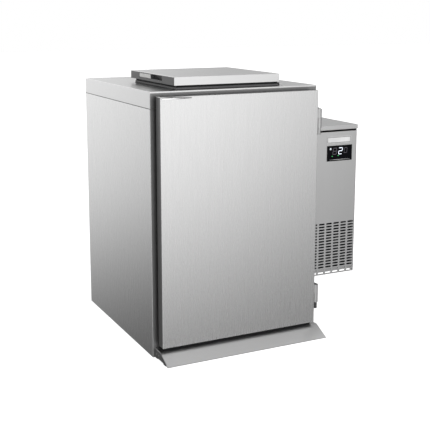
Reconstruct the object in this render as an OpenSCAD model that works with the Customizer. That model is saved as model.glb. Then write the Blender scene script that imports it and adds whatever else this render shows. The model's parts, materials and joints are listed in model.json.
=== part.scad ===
// Refrigerated cabinet for one 240 litre wheeled waste bin.
// A front door lets the bin roll in, a lidded chute in the top takes the waste,
// and a plug-in refrigeration unit hangs on the right-hand wall.
// Millimetres, +Z up, front towards -Y, origin on the floor at the centre of the cabinet's base.

/* [Cabinet] */
// Outer width of the insulated cabinet
body_w = 860; // [820:1:920]
// Outer depth of the insulated cabinet
body_d = 900; // [860:1:980]
// Height of the cabinet's top face above the floor
body_h = 1225; // [1215:1:1300]
// Thickness of the side and rear walls
wall_t = 60; // [50:1:64]
// Thickness of the ceiling panel
ceiling_t = 76; // [60:1:90]
// Thickness of the floor panel, flush with the threshold
floor_t = 44; // [36:1:50]
// Thickness of the panels' stainless skins
skin_t = 1; // [0.6:0.2:1.2]
// Thickness of the plastic liner around the door opening
liner_t = 3; // [2:0.5:4]
// Height of the bin guide rails
rail_h = 60; // [40:1:90]

/* [Door] */
// Strip of cabinet front left showing beside the door's free edge
door_reveal_left = 21; // [16:1:26]
// Strip of cabinet front left showing beside the hinged edge
door_reveal_right = 31; // [28:1:34]
// Strip of cabinet front left showing above the door
door_reveal_top = 19; // [14:1:24]
// Height of the door's lower edge above the floor
door_clear = 61; // [56:1:70]
// Thickness of the door leaf
door_t = 48; // [40:1:60]
// Thickness of the closed door gasket
gasket_t = 21; // [16:1:24]
// Width of the door gasket profile
gasket_w = 18; // [14:1:20]
// Radius of the hinge barrels
hinge_r = 13; // [12:0.5:14]
// Radius of the hinge pins
pin_r = 5; // [4:0.5:6]
// Height of one door hinge with its caps
hinge_h = 133; // [120:1:140]
// Height of the lower hinge above the floor
hinge_low_z = 128; // [120:1:200]
// Height of the upper hinge above the floor
hinge_high_z = 993; // [900:1:1020]

/* [Chute] */
// Side of the square lid
lid_w = 537; // [520:1:560]
// Thickness of the lid
lid_t = 38; // [34:1:50]
// Height of the lid's underside above the cabinet's top
lid_gap = 22; // [20:1:26]
// Width of the collar under the lid
collar_w = 524; // [510:1:530]
// Depth of the collar under the lid
collar_d = 500; // [490:1:520]
// Clear width of the chute
chute_w = 460; // [440:1:464]
// Clear depth of the chute
chute_d = 436; // [420:1:440]
// Radius of the lid hinge barrel
lid_barrel_r = 6; // [5:0.5:7]

/* [Threshold ramp] */
// Width of the threshold ramp
ramp_w = 843; // [820:1:850]
// Depth of the ramp's level top
ramp_flat = 58; // [50:1:66]
// Distance from the cabinet's front to the ramp's toe
ramp_reach = 146; // [130:1:170]
// Thickness of the ramp sheet
ramp_t = 3; // [2:0.5:4]

/* [Refrigeration unit] */
// Width of the unit's casing
unit_w = 268; // [260:1:300]
// Depth of the unit's casing
unit_d = 520; // [500:1:560]
// Height of the unit's underside above the floor
unit_low = 259; // [240:1:280]
// Height of the unit's top above the floor
unit_high = 1017; // [1000:1:1030]
// Set-back of the unit's front behind the cabinet's front
unit_back = 30; // [24:1:40]
// Thickness of the casing's sheet
sheet_t = 1.5; // [1:0.5:2]
// Grille columns
slot_cols = 6; // [4:1:6]
// Grille rows
slot_rows = 18; // [10:1:18]
// Length of one grille slot
slot_w = 32; // [24:1:34]
// Height of one grille slot
slot_h = 7; // [5:0.5:8]

/* [Hidden] */
$fn = 48;
eps = 0.01;
steel = "silver";
black = [0.08, 0.08, 0.09];

// Cabinet faces
left_x = -body_w / 2;
right_x = body_w / 2;
front_y = -body_d / 2;
rear_y = body_d / 2;
in_left = left_x + wall_t;
in_right = right_x - wall_t;
in_rear = rear_y - wall_t;
in_top = body_h - ceiling_t;

// Door faces
door_x0 = left_x + door_reveal_left;
door_x1 = right_x - door_reveal_right;
door_z0 = door_clear;
door_z1 = body_h - door_reveal_top;
door_back = front_y - gasket_t;
door_front = door_back - door_t;
door_sheet = 1.5;
pad_inset = 52;
pad_depth = 12;
gasket_inset = 10;
sweep_d = 26;
sweep_gap = 0.4;

// Door hinges, whose axis is vertical
hinge_x = door_x1 + hinge_r + 0.5;
hinge_y = door_front + hinge_r;
bush_h = 32;
cap_h = 11;
knuckle_gap = 0.4;
knuckle_h = (hinge_h - bush_h - cap_h - knuckle_gap) / 2;
bush_r = 9;
pin_fit = 0.05;
web_w = 12;
foot_t = 4;
leaf_t = 5;

// Pull lip, an arc in plan that runs out to the right
pull_x0 = door_x0 + 3;
pull_peak_x = door_x0 + 39;
pull_len = 148;
pull_out = 18;
pull_drop = 4;
pull_t = 2.5;
pull_rim = 3;
pull_half = pull_x0 + pull_len - pull_peak_x;
pull_arc_r = (pull_half * pull_half + pull_out * pull_out) / (2 * pull_out);
pull_arc_y = door_front - pull_out + pull_arc_r;

// Lid, collar and chute
lid_x0 = left_x + 122;
lid_x1 = lid_x0 + lid_w;
lid_y0 = front_y + 9;
lid_y1 = lid_y0 + lid_w;
lid_z0 = body_h + lid_gap;
lid_z1 = lid_z0 + lid_t;
lid_sheet = 1.5;
collar_x0 = left_x + 137;
collar_x1 = collar_x0 + collar_w;
collar_y0 = front_y + 23;
collar_y1 = collar_y0 + collar_d;
chute_x = (collar_x0 + collar_x1) / 2;
chute_y = (collar_y0 + collar_y1) / 2;
sleeve_t = 2;
sleeve_drop = 8;
collar_frame_h = 11;
collar_gasket_in = 10;
plug_depth = 11;
plug_gap = 14;

// Lid hinge, whose axis runs front to back along the collar's right side
lid_axis_x = collar_x1 + 12;
lid_axis_z = body_h + 11;
lid_rod_r = 3;
barrel_count = 5;
barrel_len = collar_d / barrel_count;
barrel_gap = 0.5;
base_leaf_t = 2.5;
base_leaf_w = 30;

// Grip recess in the lid's left side
grip_y0 = lid_y0 + 138;
grip_y1 = lid_y1 - 114;
grip_z0 = lid_z0 + 11;
grip_z1 = lid_z1 - 4;
grip_depth = 24;
tray_t = 1.2;
flap_y0 = grip_y1 - 144;
flap_y1 = grip_y1 - 3;
flap_t = 2.5;
flap_pin_r = 1.5;
flap_axis_x = lid_x0 + 4;
flap_axis_z = grip_z1 - tray_t - 3.2;
divider_y = flap_y0 - 4;

// Ramp
ramp_x0 = left_x + 11;
ramp_x1 = ramp_x0 + ramp_w;
pad_t = 4;
cheek_t = 3;

// Unit casing
unit_x0 = right_x;
unit_x1 = unit_x0 + unit_w;
unit_y0 = front_y + unit_back;
unit_y1 = unit_y0 + unit_d;
tray_z = unit_low + 18;
lip_h = 21;
lip_gap = 9;
cover_over = 2;
panel_top = unit_high - lip_h - lip_gap;
slot_pitch_x = (unit_w - 12 - 10 - slot_w) / (slot_cols - 1);
slot_pitch_z = 14.85;
slot_first_x = unit_x0 + 10 + slot_w / 2;
slot_first_z = unit_low + 10.5;

// Controller and badge on the unit's front
screen_x0 = unit_x0 + 90;
screen_x1 = unit_x0 + 236;
screen_z0 = unit_low + 581;
screen_z1 = unit_low + 658;
badge_x0 = unit_x0 + 88;
badge_x1 = unit_x0 + 229;
badge_z0 = unit_low + 670;
badge_z1 = unit_low + 703;

// Condenser, its fan and the compressor
coil_y0 = unit_y0 + 12;
coil_d = 44;
coil_z0 = tray_z + 2;
coil_h = 250;
coil_rows = 6;
coil_x0 = unit_x0 + 16;
coil_x1 = unit_x1 - 16;
fan_x = (coil_x0 + coil_x1) / 2;
fan_z = coil_z0 + coil_h / 2;
fan_r = 92;
shroud_y0 = coil_y0 + coil_d;
shroud_d = 30;
motor_r = 34;
motor_len = 52;
shaft_r = 4;
comp_x = unit_x0 + 132;
comp_y = unit_y1 - 140;
comp_r = 84;
comp_h = 190;
comp_z = tray_z + 26;

// Evaporator inside the cabinet, on the right wall
port_y0 = unit_y0 + 60;
port_y1 = port_y0 + 300;
port_z0 = unit_low + 370;
port_z1 = port_z0 + 330;
evap_t = 106;
evap_x0 = in_right - evap_t;
evap_sheet = 1.5;
evap_fan_x = evap_x0 + 20;
evap_coil_x0 = in_right - 48;
evap_coil_x1 = in_right - 8;
evap_y0 = port_y0 - 20;
evap_y1 = port_y1 + 20;
evap_z0 = port_z0 - 40;
evap_z1 = port_z1 + 20;
evap_fan_r = 84;
evap_rows = 6;

// Line between the unit and the evaporator: filter drier, liquid line and suction line
drier_x = unit_x0 + 30;
drier_y = unit_y0 + 130;
drier_z = tray_z + 90;
drier_h = 110;
liquid_z = port_z0 + 60;
gas_y = port_y1 - 60;
gas_z = port_z0 + 120;
evap_fan_y = (evap_y0 + evap_y1) / 2;
evap_fan_z = (evap_z0 + evap_z1) / 2;

// A block between two opposite corners
module block(from, to) {
  translate(from) cube(to - from);
}

// A cylinder that starts at a point and runs along +X, +Y or +Z
module rod_x(at, r, len) {
  translate(at) rotate([0, 90, 0]) cylinder(h = len, r = r);
}
module rod_y(at, r, len) {
  translate(at) rotate([-90, 0, 0]) cylinder(h = len, r = r);
}
module rod_z(at, r, len) {
  translate(at) cylinder(h = len, r = r);
}

// A box of panel skin; 1 in open_low or open_high leaves out the face at that end of that axis
module skin_box(from, to, open_low, open_high) {
  in_from = [for (i = [0 : 2]) open_low[i] == 1 ? from[i] - 1 : from[i] + skin_t];
  in_to = [for (i = [0 : 2]) open_high[i] == 1 ? to[i] + 1 : to[i] - skin_t];
  difference() {
    block(from, to);
    block(in_from, in_to);
  }
}

// Openings that the wall's port and the chute cut through their panels
module port_hole() {
  block([in_right - 1, port_y0, port_z0], [right_x + 1, port_y1, port_z1]);
}
module chute_hole() {
  block(
    [chute_x - chute_w / 2 - sleeve_t, chute_y - chute_d / 2 - sleeve_t, in_top - 1],
    [chute_x + chute_w / 2 + sleeve_t, chute_y + chute_d / 2 + sleeve_t, body_h + lid_gap]
  );
}

// A rectangular ring that stands upright along Z
module ring(from, to, wall) {
  difference() {
    block(from, to);
    block([from[0] + wall, from[1] + wall, from[2] - 1], [to[0] - wall, to[1] - wall, to[2] + 1]);
  }
}

// A round tube bent through square corners, given the points of its centre line
module pipe(points, r) {
  for (i = [0 : len(points) - 2]) {
    a = points[i];
    b = points[i + 1];
    span = b - a;
    dist = norm(span);
    translate(a)
      rotate([0, acos(span[2] / dist), atan2(span[1], span[0])])
        cylinder(h = dist, r = r);
  }
  for (i = [1 : 1 : len(points) - 2]) {
    translate(points[i]) sphere(r = r);
  }
}

// Fan rotor about the Z axis: a hub, blades set at a pitch, and a shaft behind
module rotor(r, hub_r, hub_h, blades, shaft_len) {
  cylinder(h = hub_h, r = hub_r);
  translate([0, 0, -shaft_len]) cylinder(h = shaft_len + eps, r = shaft_r);
  intersection() {
    cylinder(h = hub_h, r = r);
    for (i = [0 : blades - 1]) {
      rotate([0, 0, i * 360 / blades])
        translate([hub_r - 3, 0, hub_h / 2])
          rotate([32, 0, 0])
            translate([0, -r * 0.34, -1])
              cube([r, r * 0.68, 2]);
    }
  }
}

// ---------- Cabinet ----------

module left_wall() {
  color(steel)
    skin_box([left_x, front_y, 0], [in_left, rear_y, in_top], [0, 0, 1], [0, 0, 1]);
}

module right_wall() {
  color(steel)
    difference() {
      skin_box([in_right, front_y, 0], [right_x, rear_y, in_top], [0, 0, 1], [0, 0, 1]);
      port_hole();
    }
}

module rear_wall() {
  color(steel)
    skin_box([in_left, in_rear, 0], [in_right, rear_y, in_top], [0, 0, 1], [0, 0, 1]);
}

module ceiling_panel() {
  color(steel)
    difference() {
      skin_box([left_x, front_y, in_top], [right_x, rear_y, body_h], [0, 0, 0], [0, 0, 0]);
      chute_hole();
    }
}

module floor_panel() {
  color(steel)
    skin_box([in_left, front_y, 0], [in_right, in_rear, floor_t], [0, 0, 0], [0, 1, 0]);
}

// Foam inside the three walls, the ceiling and the floor
module panel_cores() {
  edge = [skin_t, skin_t, 0];
  all = [skin_t, skin_t, skin_t];
  color("khaki") {
    block([left_x, front_y, 0] + edge, [in_left, rear_y, in_top] - edge);
    difference() {
      block([in_right, front_y, 0] + edge, [right_x, rear_y, in_top] - edge);
      port_hole();
    }
    block([in_left, in_rear, 0] + edge, [in_right, rear_y, in_top] - edge);
    difference() {
      block([left_x, front_y, in_top] + all, [right_x, rear_y, body_h] - all);
      chute_hole();
    }
    block([in_left, front_y, 0] + all, [in_right - skin_t, in_rear, floor_t - skin_t]);
  }
}

// Plastic thermal break that lines the two sides and the top of the opening
module door_frame_liner() {
  depth = 48;
  color("whitesmoke")
    difference() {
      block([in_left, front_y, floor_t], [in_right, front_y + depth, in_top]);
      block(
        [in_left + liner_t, front_y - 1, floor_t - 1],
        [in_right - liner_t, front_y + depth + 1, in_top - liner_t]
      );
    }
}

// Two angle rails on the floor keep the bin clear of the wall and of the evaporator
module bin_guide_rails() {
  rail_w = 26;
  rail_sheet = 2;
  for (x = [in_left + liner_t + 1, evap_x0 + 1]) {
    color(steel)
      difference() {
        block([x, front_y + 90, floor_t], [x + rail_w, in_rear - 20, floor_t + rail_h]);
        block(
          [x + rail_sheet, front_y + 89, floor_t + rail_sheet],
          [x + rail_w - rail_sheet, in_rear - 19, floor_t + rail_h - rail_sheet]
        );
      }
  }
}

// ---------- Threshold ramp ----------

// Folded sheet: level top, slope and toe, seen from the side
module threshold_ramp() {
  top = floor_t;
  color(steel)
    translate([ramp_x0, front_y, 0])
      rotate([90, 0, 90])
        linear_extrude(ramp_w)
          polygon([
            [0, top], [-ramp_flat, top], [-ramp_reach, ramp_t], [-ramp_reach, 0],
            [-ramp_reach + ramp_t, 0], [-ramp_flat + 1, top - ramp_t], [0, top - ramp_t]
          ]);
}

// Side plates and two ribs that carry the sheet
module ramp_cheeks() {
  top = floor_t - ramp_t;
  rise = floor_t - ramp_t;
  run = ramp_reach - ramp_flat - ramp_t + 1;
  low = pad_t;
  toe = ramp_reach - ramp_t - run * low / rise;
  for (i = [0 : 3]) {
    x = ramp_x0 + i * (ramp_w - cheek_t) / 3;
    color(steel)
      translate([x, front_y, 0])
        rotate([90, 0, 90])
          linear_extrude(cheek_t)
            polygon([[0, low], [0, top], [-ramp_flat + 1, top], [-toe, low]]);
  }
}

module ramp_pads() {
  for (i = [0 : 3], y = [front_y - 26, front_y - ramp_reach + 24]) {
    x = ramp_x0 + i * (ramp_w - cheek_t) / 3;
    color(black)
      block([max(x - 10, ramp_x0), y, 0], [min(x + 13, ramp_x1), y + 26, pad_t]);
  }
}

// ---------- Chute and collar ----------

module chute_sleeve() {
  color(steel)
    ring(
      [chute_x - chute_w / 2 - sleeve_t, chute_y - chute_d / 2 - sleeve_t, in_top - sleeve_drop],
      [chute_x + chute_w / 2 + sleeve_t, chute_y + chute_d / 2 + sleeve_t, lid_z0 - 3],
      sleeve_t
    );
}

module collar_frame() {
  color("dimgray")
    difference() {
      block([collar_x0, collar_y0, body_h], [collar_x1, collar_y1, body_h + collar_frame_h]);
      chute_hole();
    }
}

module collar_gasket() {
  color(black)
    ring(
      [collar_x0 + 3, collar_y0 + 3, body_h + collar_frame_h],
      [collar_x1 - 3, collar_y1 - 3, lid_z0],
      collar_gasket_in
    );
}

// ---------- Lid hinge ----------

// The fixed leaf carries the odd barrels and the lid's leaf the even ones
module lid_hinge_base() {
  leaf_top = body_h + base_leaf_t;
  color(steel)
    difference() {
      union() {
        block([collar_x1, collar_y0, body_h], [collar_x1 + base_leaf_w, collar_y1, leaf_top]);
        for (i = [0 : 2 : barrel_count - 1]) {
          y = collar_y0 + i * barrel_len;
          rod_y([lid_axis_x, y, lid_axis_z], lid_barrel_r, barrel_len - barrel_gap);
          block(
            [lid_axis_x - 3.5, y, body_h],
            [lid_axis_x + 4, y + barrel_len - barrel_gap, lid_axis_z - 3]
          );
        }
      }
      rod_y([lid_axis_x, collar_y0 - 1, lid_axis_z], lid_rod_r + pin_fit, collar_d + 2);
    }
}

module lid_hinge_leaf() {
  plate_t = 2;
  plate_h = 22;
  color(steel)
    difference() {
      union() {
        block(
          [lid_x1, collar_y0 + barrel_len, lid_z0 + 3],
          [lid_x1 + plate_t, collar_y1 - barrel_len, lid_z0 + plate_h]
        );
        for (i = [1 : 2 : barrel_count - 1]) {
          y = collar_y0 + i * barrel_len;
          rod_y([lid_axis_x, y, lid_axis_z], lid_barrel_r, barrel_len - barrel_gap);
          block(
            [lid_axis_x - 5, y, lid_axis_z],
            [lid_axis_x, y + barrel_len - barrel_gap, lid_z0 + 6]
          );
          block(
            [lid_x1, y, lid_z0 + 3],
            [lid_axis_x, y + barrel_len - barrel_gap, lid_z0 + 6]
          );
        }
      }
      rod_y([lid_axis_x, collar_y0 - 1, lid_axis_z], lid_rod_r + pin_fit, collar_d + 2);
    }
}

// ---------- Door hinges ----------

// Fixed knuckle, its web and the foot that screws to the cabinet's front edge
module hinge_brackets() {
  for (z = [hinge_low_z, hinge_high_z]) {
    z0 = z + bush_h;
    z1 = z0 + knuckle_h;
    color(steel)
      difference() {
        union() {
          rod_z([hinge_x, hinge_y, z0], hinge_r, knuckle_h);
          block([hinge_x - web_w / 2, hinge_y, z0], [hinge_x + web_w / 2, front_y, z1]);
          block([door_x1 + 2, front_y - foot_t, z0], [right_x, front_y, z1]);
        }
        rod_z([hinge_x, hinge_y, z0 - 1], pin_r, knuckle_h + 2);
      }
  }
}

// Two door hinge pins and the lid hinge's long rod
module hinge_pins() {
  color("gray") {
    for (z = [hinge_low_z, hinge_high_z]) {
      rod_z([hinge_x, hinge_y, z + 2], pin_r, hinge_h - cap_h - 4);
    }
    rod_y([lid_axis_x, collar_y0, lid_axis_z], lid_rod_r, collar_d);
  }
}

// Black end bushes under the fixed knuckles
module hinge_bushes() {
  for (z = [hinge_low_z, hinge_high_z]) {
    color(black)
      difference() {
        rod_z([hinge_x, hinge_y, z], bush_r, bush_h);
        rod_z([hinge_x, hinge_y, z + 2], pin_r, bush_h);
      }
  }
}

module hinge_screws() {
  x = right_x - 6;
  for (z = [hinge_low_z, hinge_high_z], dz = [8, knuckle_h / 2, knuckle_h - 8]) {
    color("gray") {
      rod_y([x, front_y - foot_t - 2, z + bush_h + dz], 3.5, 2);
      rod_y([x, front_y - foot_t, z + bush_h + dz], 1.8, foot_t + 18);
    }
  }
}

// Door-side knuckle with the leaf on the door's edge
module hinge_knuckles() {
  for (z = [hinge_low_z, hinge_high_z]) {
    z0 = z + bush_h + knuckle_h + knuckle_gap;
    z1 = z0 + knuckle_h;
    color(steel)
      difference() {
        union() {
          rod_z([hinge_x, hinge_y, z0], hinge_r, knuckle_h);
          block([door_x1, door_front + 4, z0], [door_x1 + leaf_t, door_back - 6, z1]);
        }
        rod_z([hinge_x, hinge_y, z0 - 1], pin_r + pin_fit, knuckle_h + 2);
      }
  }
}

// Black caps, cut at a slant on top
module hinge_caps() {
  for (z = [hinge_low_z, hinge_high_z]) {
    z0 = z + hinge_h - cap_h;
    color(black)
      difference() {
        rod_z([hinge_x, hinge_y, z0], hinge_r - 1, cap_h);
        translate([hinge_x - hinge_r, hinge_y, z0 + cap_h])
          rotate([0, 24, 0])
            translate([0, -hinge_r - 1, 0]) cube([3 * hinge_r, 2 * hinge_r + 2, 2 * cap_h]);
      }
  }
}

// ---------- Door ----------

module door_skin() {
  color(steel)
    difference() {
      block([door_x0, door_front, door_z0], [door_x1, door_back, door_z1]);
      block(
        [door_x0 + door_sheet, door_front + door_sheet, door_z0 + door_sheet],
        [door_x1 - door_sheet, door_back + 1, door_z1 - door_sheet]
      );
    }
}

module door_core() {
  color("khaki")
    block(
      [door_x0 + door_sheet, door_front + door_sheet, door_z0 + door_sheet],
      [door_x1 - door_sheet, door_back - door_sheet, door_z1 - door_sheet]
    );
}

// Inner face with a pressed pad that stands into the opening
module door_liner() {
  x0 = door_x0 + pad_inset;
  x1 = door_x1 - pad_inset;
  z0 = door_z0 + pad_inset - 20;
  z1 = door_z1 - pad_inset - 20;
  color(steel)
    difference() {
      union() {
        block(
          [door_x0 + door_sheet, door_back - door_sheet, door_z0 + door_sheet],
          [door_x1 - door_sheet, door_back, door_z1 - door_sheet]
        );
        block([x0, door_back - door_sheet, z0], [x1, door_back + pad_depth, z1]);
      }
      block(
        [x0 + door_sheet, door_back - door_sheet - 1, z0 + door_sheet],
        [x1 - door_sheet, door_back + pad_depth - door_sheet, z1 - door_sheet]
      );
    }
}

// Magnetic gasket on three sides; the sweep seals the fourth
module door_gasket() {
  x0 = door_x0 + gasket_inset;
  x1 = door_x1 - gasket_inset;
  z1 = door_z1 - gasket_inset;
  color(black)
    difference() {
      block([x0, door_back, door_z0 + 4], [x1, front_y, z1]);
      block([x0 + gasket_w, door_back - 1, door_z0], [x1 - gasket_w, front_y + 1, z1 - gasket_w]);
    }
}

// Sweep seal under the door, just clear of the threshold
module door_sweep() {
  color(black)
    block(
      [door_x0 + gasket_inset, door_back - sweep_d, floor_t + sweep_gap],
      [door_x1 - gasket_inset, door_back, door_z0]
    );
}

// Outline of the pull's lip, or of its solid end cheek, turned about the arc's centre
module pull_arc(solid_end) {
  r_in = pull_arc_r - pull_out - 6;
  slope_z = door_z1 - pull_drop;
  rim_z = slope_z - pull_t - pull_rim;
  under = solid_end
    ? [[r_in, rim_z]]
    : [[pull_arc_r - pull_t, rim_z], [pull_arc_r - pull_t, slope_z - pull_t], [r_in, door_z1 - pull_t]];
  translate([pull_peak_x, pull_arc_y, 0])
    rotate_extrude($fn = 240)
      polygon(concat([[r_in, door_z1], [pull_arc_r, slope_z], [pull_arc_r, rim_z]], under));
}

// Sloping lip with a turned-down rim and an end cheek; fingers reach behind it from below
module door_pull() {
  color(steel) {
    intersection() {
      pull_arc(false);
      block([pull_x0, door_front - pull_out - 1, 0], [pull_x0 + pull_len + 1, door_front, body_h]);
    }
    intersection() {
      pull_arc(true);
      block([pull_x0, door_front - pull_out - 1, 0], [pull_x0 + pull_t, door_front, body_h]);
    }
  }
}

// ---------- Lid ----------

module lid_shell() {
  color(steel)
    difference() {
      block([lid_x0, lid_y0, lid_z0], [lid_x1, lid_y1, lid_z1]);
      block(
        [lid_x0 + lid_sheet, lid_y0 + lid_sheet, lid_z0 - 1],
        [lid_x1 - lid_sheet, lid_y1 - lid_sheet, lid_z1 - lid_sheet]
      );
      block([lid_x0 - 1, grip_y0, grip_z0], [lid_x0 + lid_sheet + 1, grip_y1, grip_z1]);
    }
}

module lid_core() {
  color("khaki")
    difference() {
      block(
        [lid_x0 + lid_sheet, lid_y0 + lid_sheet, lid_z0 + lid_sheet],
        [lid_x1 - lid_sheet, lid_y1 - lid_sheet, lid_z1 - lid_sheet]
      );
      block([lid_x0, grip_y0, grip_z0], [lid_x0 + grip_depth, grip_y1, grip_z1]);
    }
}

// Underside of the lid with the plug that drops into the chute
module lid_pan() {
  plug_x0 = chute_x - chute_w / 2 + plug_gap;
  plug_x1 = chute_x + chute_w / 2 - plug_gap;
  plug_y0 = chute_y - chute_d / 2 + plug_gap;
  plug_y1 = chute_y + chute_d / 2 - plug_gap;
  color(steel)
    difference() {
      union() {
        block(
          [lid_x0 + lid_sheet, lid_y0 + lid_sheet, lid_z0],
          [lid_x1 - lid_sheet, lid_y1 - lid_sheet, lid_z0 + lid_sheet]
        );
        block([plug_x0, plug_y0, lid_z0 - plug_depth], [plug_x1, plug_y1, lid_z0 + lid_sheet]);
      }
      block(
        [plug_x0 + lid_sheet, plug_y0 + lid_sheet, lid_z0 - plug_depth + lid_sheet],
        [plug_x1 - lid_sheet, plug_y1 - lid_sheet, lid_z0 + lid_sheet + 1]
      );
    }
}

// Open tray let into the lid's side, with a divider that carries the flap's pin
module lid_grip_tray() {
  color("gainsboro")
    difference() {
      block([lid_x0, grip_y0, grip_z0], [lid_x0 + grip_depth, grip_y1, grip_z1]);
      block(
        [lid_x0 - 1, grip_y0 + tray_t, grip_z0 + tray_t],
        [lid_x0 + grip_depth - tray_t, divider_y, grip_z1 - tray_t]
      );
      block(
        [lid_x0 - 1, divider_y + tray_t, grip_z0 + tray_t],
        [lid_x0 + grip_depth - tray_t, grip_y1 - tray_t, grip_z1 - tray_t]
      );
      rod_y([flap_axis_x, divider_y - 1, flap_axis_z], flap_pin_r, grip_y1 - divider_y + 2 - tray_t);
    }
}

module flap_pin() {
  color("gray") rod_y([flap_axis_x, divider_y, flap_axis_z], flap_pin_r, grip_y1 - tray_t - divider_y);
}

// Sprung flap that closes half of the recess and folds inwards under the fingers
module grip_flap() {
  knuckle_r = flap_pin_r + 1.2;
  color("whitesmoke")
    difference() {
      union() {
        block([lid_x0 + 0.4, flap_y0, grip_z0 + tray_t + 0.8], [lid_x0 + 0.4 + flap_t, flap_y1, flap_axis_z]);
        rod_y([flap_axis_x, flap_y0, flap_axis_z], knuckle_r, flap_y1 - flap_y0);
      }
      rod_y([flap_axis_x, flap_y0 - 1, flap_axis_z], flap_pin_r + pin_fit, flap_y1 - flap_y0 + 2);
    }
}

// ---------- Unit casing ----------

module unit_wall_plate() {
  color(steel)
    difference() {
      block([unit_x0, unit_y0 + sheet_t, tray_z], [unit_x0 + 2, unit_y1 - sheet_t, unit_high - 20]);
      block([unit_x0 - 1, port_y0 + 12, port_z0 + 12], [unit_x0 + 3, port_y1 - 12, port_z1 - 12]);
    }
}

module unit_base_tray() {
  rim = 18;
  x0 = unit_x0 + 2;
  x1 = unit_x1 - sheet_t;
  y0 = unit_y0 + sheet_t;
  y1 = unit_y1 - sheet_t;
  color(steel)
    difference() {
      block([x0, y0, tray_z], [x1, y1, tray_z + rim]);
      block([x0 + 2, y0 + 2, tray_z + 2], [x1 - 2, y1 - 2, tray_z + rim + 1]);
    }
}

// One grille slot with round ends, cut along Y
module slot(x, z, y) {
  r = slot_h / 2;
  translate([x, y, z])
    rotate([90, 0, 0])
      linear_extrude(6, center = true)
        union() {
          square([slot_w - slot_h, slot_h], center = true);
          translate([-(slot_w - slot_h) / 2, 0]) circle(r = r);
          translate([(slot_w - slot_h) / 2, 0]) circle(r = r);
        }
}

module unit_front_panel() {
  color(steel)
    difference() {
      block([unit_x0, unit_y0, unit_low], [unit_x1, unit_y0 + sheet_t, panel_top]);
      for (i = [0 : slot_cols - 1], j = [0 : slot_rows - 1]) {
        slot(slot_first_x + i * slot_pitch_x, slot_first_z + j * slot_pitch_z, unit_y0);
      }
    }
}

module unit_side_panel() {
  vent_l = 260;
  color(steel)
    difference() {
      block([unit_x1 - sheet_t, unit_y0 + sheet_t, unit_low], [unit_x1, unit_y1 - sheet_t, panel_top + 8]);
      for (j = [0 : 9]) {
        z = tray_z + 60 + j * 18;
        block([unit_x1 - 3, unit_y1 - 60 - vent_l, z], [unit_x1 + 1, unit_y1 - 60, z + 7]);
      }
    }
}

module unit_rear_panel() {
  color(steel)
    difference() {
      block([unit_x0, unit_y1 - sheet_t, unit_low], [unit_x1, unit_y1, panel_top + 8]);
      for (j = [0 : 13]) {
        z = tray_z + 90 + j * 18;
        block([unit_x0 + 40, unit_y1 - 3, z], [unit_x1 - 40, unit_y1 + 1, z + 7]);
      }
      rod_y([unit_x1 - 40, unit_y1 - 3, tray_z + 50], 8, 6);
    }
}

// Lift-off cover with lips on its three free sides
module unit_top_cover() {
  color(steel)
    difference() {
      block(
        [unit_x0, unit_y0 - cover_over, unit_high - lip_h],
        [unit_x1 + cover_over, unit_y1 + cover_over, unit_high]
      );
      block(
        [unit_x0 - 1, unit_y0 - cover_over + sheet_t, unit_high - lip_h - 1],
        [unit_x1 + cover_over - sheet_t, unit_y1 + cover_over - sheet_t, unit_high - sheet_t]
      );
    }
}

module unit_screws() {
  head_r = 4;
  head_h = 2;
  for (z = [unit_low + 30, panel_top - 30], y = [unit_y0 + 40, unit_y1 - 40]) {
    color("gray") rod_x([unit_x1, y, z], head_r, head_h);
  }
  for (z = [unit_low + 30, panel_top - 30], x = [unit_x0 + 20, unit_x1 - 20]) {
    color("gray") rod_y([x, unit_y1, z], head_r, head_h);
  }
  for (y = [front_y - 20, front_y - 44]) {
    color("gray") rod_x([ramp_x0 - head_h, y, floor_t / 2], head_r, head_h);
    color("gray") rod_x([ramp_x1, y, floor_t / 2], head_r, head_h);
  }
}

// Blank identification plate
module badge_plate() {
  color("gainsboro")
    block([badge_x0, unit_y0 - 1.6, badge_z0], [badge_x1, unit_y0, badge_z1]);
}

// Controller: display housing in front of the panel and its box behind
module controller_body() {
  color(black)
    difference() {
      block([screen_x0, unit_y0 - 3, screen_z0], [screen_x1, unit_y0, screen_z1]);
      block([screen_x0 + 5, unit_y0 - 4, screen_z0 + 12], [screen_x1 - 5, unit_y0 - 1.4, screen_z1 - 5]);
    }
  color(black)
    block(
      [screen_x0 + 8, unit_y0 + sheet_t, screen_z0 + 6],
      [screen_x1 - 8, unit_y0 + 52, screen_z1 - 6]
    );
}

module controller_screen() {
  color([0.02, 0.02, 0.03])
    block([screen_x0 + 5, unit_y0 - 2.6, screen_z0 + 12], [screen_x1 - 5, unit_y0 - 1.4, screen_z1 - 5]);
}

// Bright strip along the controller's lower edge
module controller_trim() {
  color("silver")
    block([screen_x0 + 12, unit_y0 - 4, screen_z0 + 4], [screen_x1 - 12, unit_y0 - 3, screen_z0 + 9]);
}

// ---------- Refrigeration circuit ----------

// Welded steel shell with a domed top, three stubs and a terminal cover
module compressor() {
  dome_h = 44;
  color(black) {
    rod_z([comp_x, comp_y, comp_z], comp_r, comp_h - dome_h);
    translate([comp_x, comp_y, comp_z + comp_h - dome_h])
      intersection() {
        translate([0, 0, dome_h - comp_r * 1.2]) sphere(r = comp_r * 1.2, $fn = 64);
        cylinder(h = dome_h, r = comp_r);
      }
    block([comp_x - 100, comp_y - 62, comp_z - 4], [comp_x + 100, comp_y + 62, comp_z]);
    block([comp_x - 30, comp_y - comp_r - 18, comp_z + 60], [comp_x + 30, comp_y - comp_r + 8, comp_z + 120]);
    rod_x([comp_x - comp_r - 14, comp_y, comp_z + 90], 6, 20);
    rod_x([comp_x + comp_r - 6, comp_y, comp_z + 110], 5, 16);
  }
}

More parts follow.
